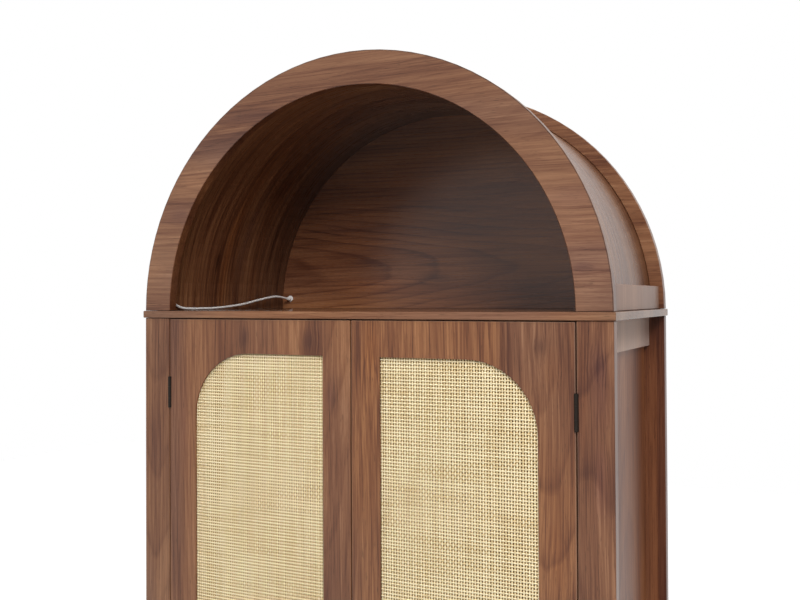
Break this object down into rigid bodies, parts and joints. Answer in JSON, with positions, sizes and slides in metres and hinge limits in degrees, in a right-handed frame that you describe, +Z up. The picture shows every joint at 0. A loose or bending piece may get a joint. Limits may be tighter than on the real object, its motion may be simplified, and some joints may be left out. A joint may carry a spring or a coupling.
{
  "type": "arched storage cabinet with cane doors",
  "caption": "Tall walnut-look cabinet with a lit, vaulted display niche under an arch and a lower case closed by hinged doors with woven cane windows.",
  "frame": {"origin": "centre of the footprint, on the floor", "axes": "+Z up, the doors and the niche face -Y, +X to the right as seen from the front"},
  "size_m": [0.806, 0.4, 1.8],
  "materials": {
    "walnut": "satin lacquer",
    "walnut_panel": "glossy lacquer",
    "cane": "natural woven cane",
    "black_metal": "black",
    "steel": "plain",
    "white_plastic": "satin",
    "dark_plastic": "matte"
  },
  "bodies": {
    "case": {"arch_back_panel": "walnut_panel", "arch_side_rail_left": "walnut", "arch_side_rail_right": "walnut", "arch_vault": "walnut_panel", "bottom_board": "walnut_panel", "front_arch_ring": "walnut", "front_bottom_rail": "walnut", "front_stile_left": "walnut", "front_stile_right": "walnut", "hinge_frame_leaf_left_bottom": "black_metal", "hinge_frame_leaf_left_middle": "black_metal", "hinge_frame_leaf_left_top": "black_metal", "hinge_frame_leaf_right_bottom": "black_metal", "hinge_frame_leaf_right_middle": "black_metal", "hinge_frame_leaf_right_top": "black_metal", "hinge_pin_left_bottom": "steel", "hinge_pin_left_middle": "steel", "hinge_pin_left_top": "steel", "hinge_pin_right_bottom": "steel", "hinge_pin_right_middle": "steel", "hinge_pin_right_top": "steel", "latch_housing_left": "dark_plastic", "latch_housing_right": "dark_plastic", "lead_inlet": "white_plastic", "lead_plug": "white_plastic", "led_end_cap": "white_plastic", "led_lead": "white_plastic", "led_strip": "white_plastic", "lower_back_panel": "walnut_panel", "mid_board": "walnut", "rear_arch_ring": "walnut", "rear_bottom_rail": "walnut_panel", "rear_stile_left": "walnut", "rear_stile_right": "walnut", "shelf_1": "walnut_panel", "shelf_2": "walnut_panel", "shelf_3": "walnut_panel", "side_bottom_rail_left": "walnut", "side_bottom_rail_right": "walnut", "side_panel_left": "walnut_panel", "side_panel_right": "walnut_panel", "side_top_rail_left": "walnut", "side_top_rail_right": "walnut"},
    "door_left": {"door_board_left": "walnut", "cane_panel_left": "cane", "cane_bead_left": "walnut", "strike_plate_left": "steel", "hinge_door_leaf_left_top": "black_metal", "hinge_door_leaf_left_middle": "black_metal", "hinge_door_leaf_left_bottom": "black_metal"},
    "door_right": {"door_board_right": "walnut", "cane_panel_right": "cane", "cane_bead_right": "walnut", "strike_plate_right": "steel", "hinge_door_leaf_right_top": "black_metal", "hinge_door_leaf_right_middle": "black_metal", "hinge_door_leaf_right_bottom": "black_metal"},
    "latch_plunger_left": {"latch_plunger_left": "white_plastic"},
    "latch_plunger_right": {"latch_plunger_right": "white_plastic"}
  },
  "joints": [
    {"name": "door_left_hinge", "type": "hinge", "parent": "case", "child": "door_left", "pos_m": [-0.348, -0.197, 0.0995], "axis": [0, 0, -1], "range_deg": [0, 165]},
    {"name": "door_right_hinge", "type": "hinge", "parent": "case", "child": "door_right", "pos_m": [0.348, -0.197, 0.0995], "axis": [0, 0, 1], "range_deg": [0, 165]},
    {"name": "latch_left_push", "type": "slide", "parent": "case", "child": "latch_plunger_left", "axis": [0, 1, 0], "range_m": [0, 0.004], "stiffness_N_per_m": 400, "springref_m": -0.003},
    {"name": "latch_right_push", "type": "slide", "parent": "case", "child": "latch_plunger_right", "axis": [0, 1, 0], "range_m": [0, 0.004], "stiffness_N_per_m": 400, "springref_m": -0.003}
  ]
}
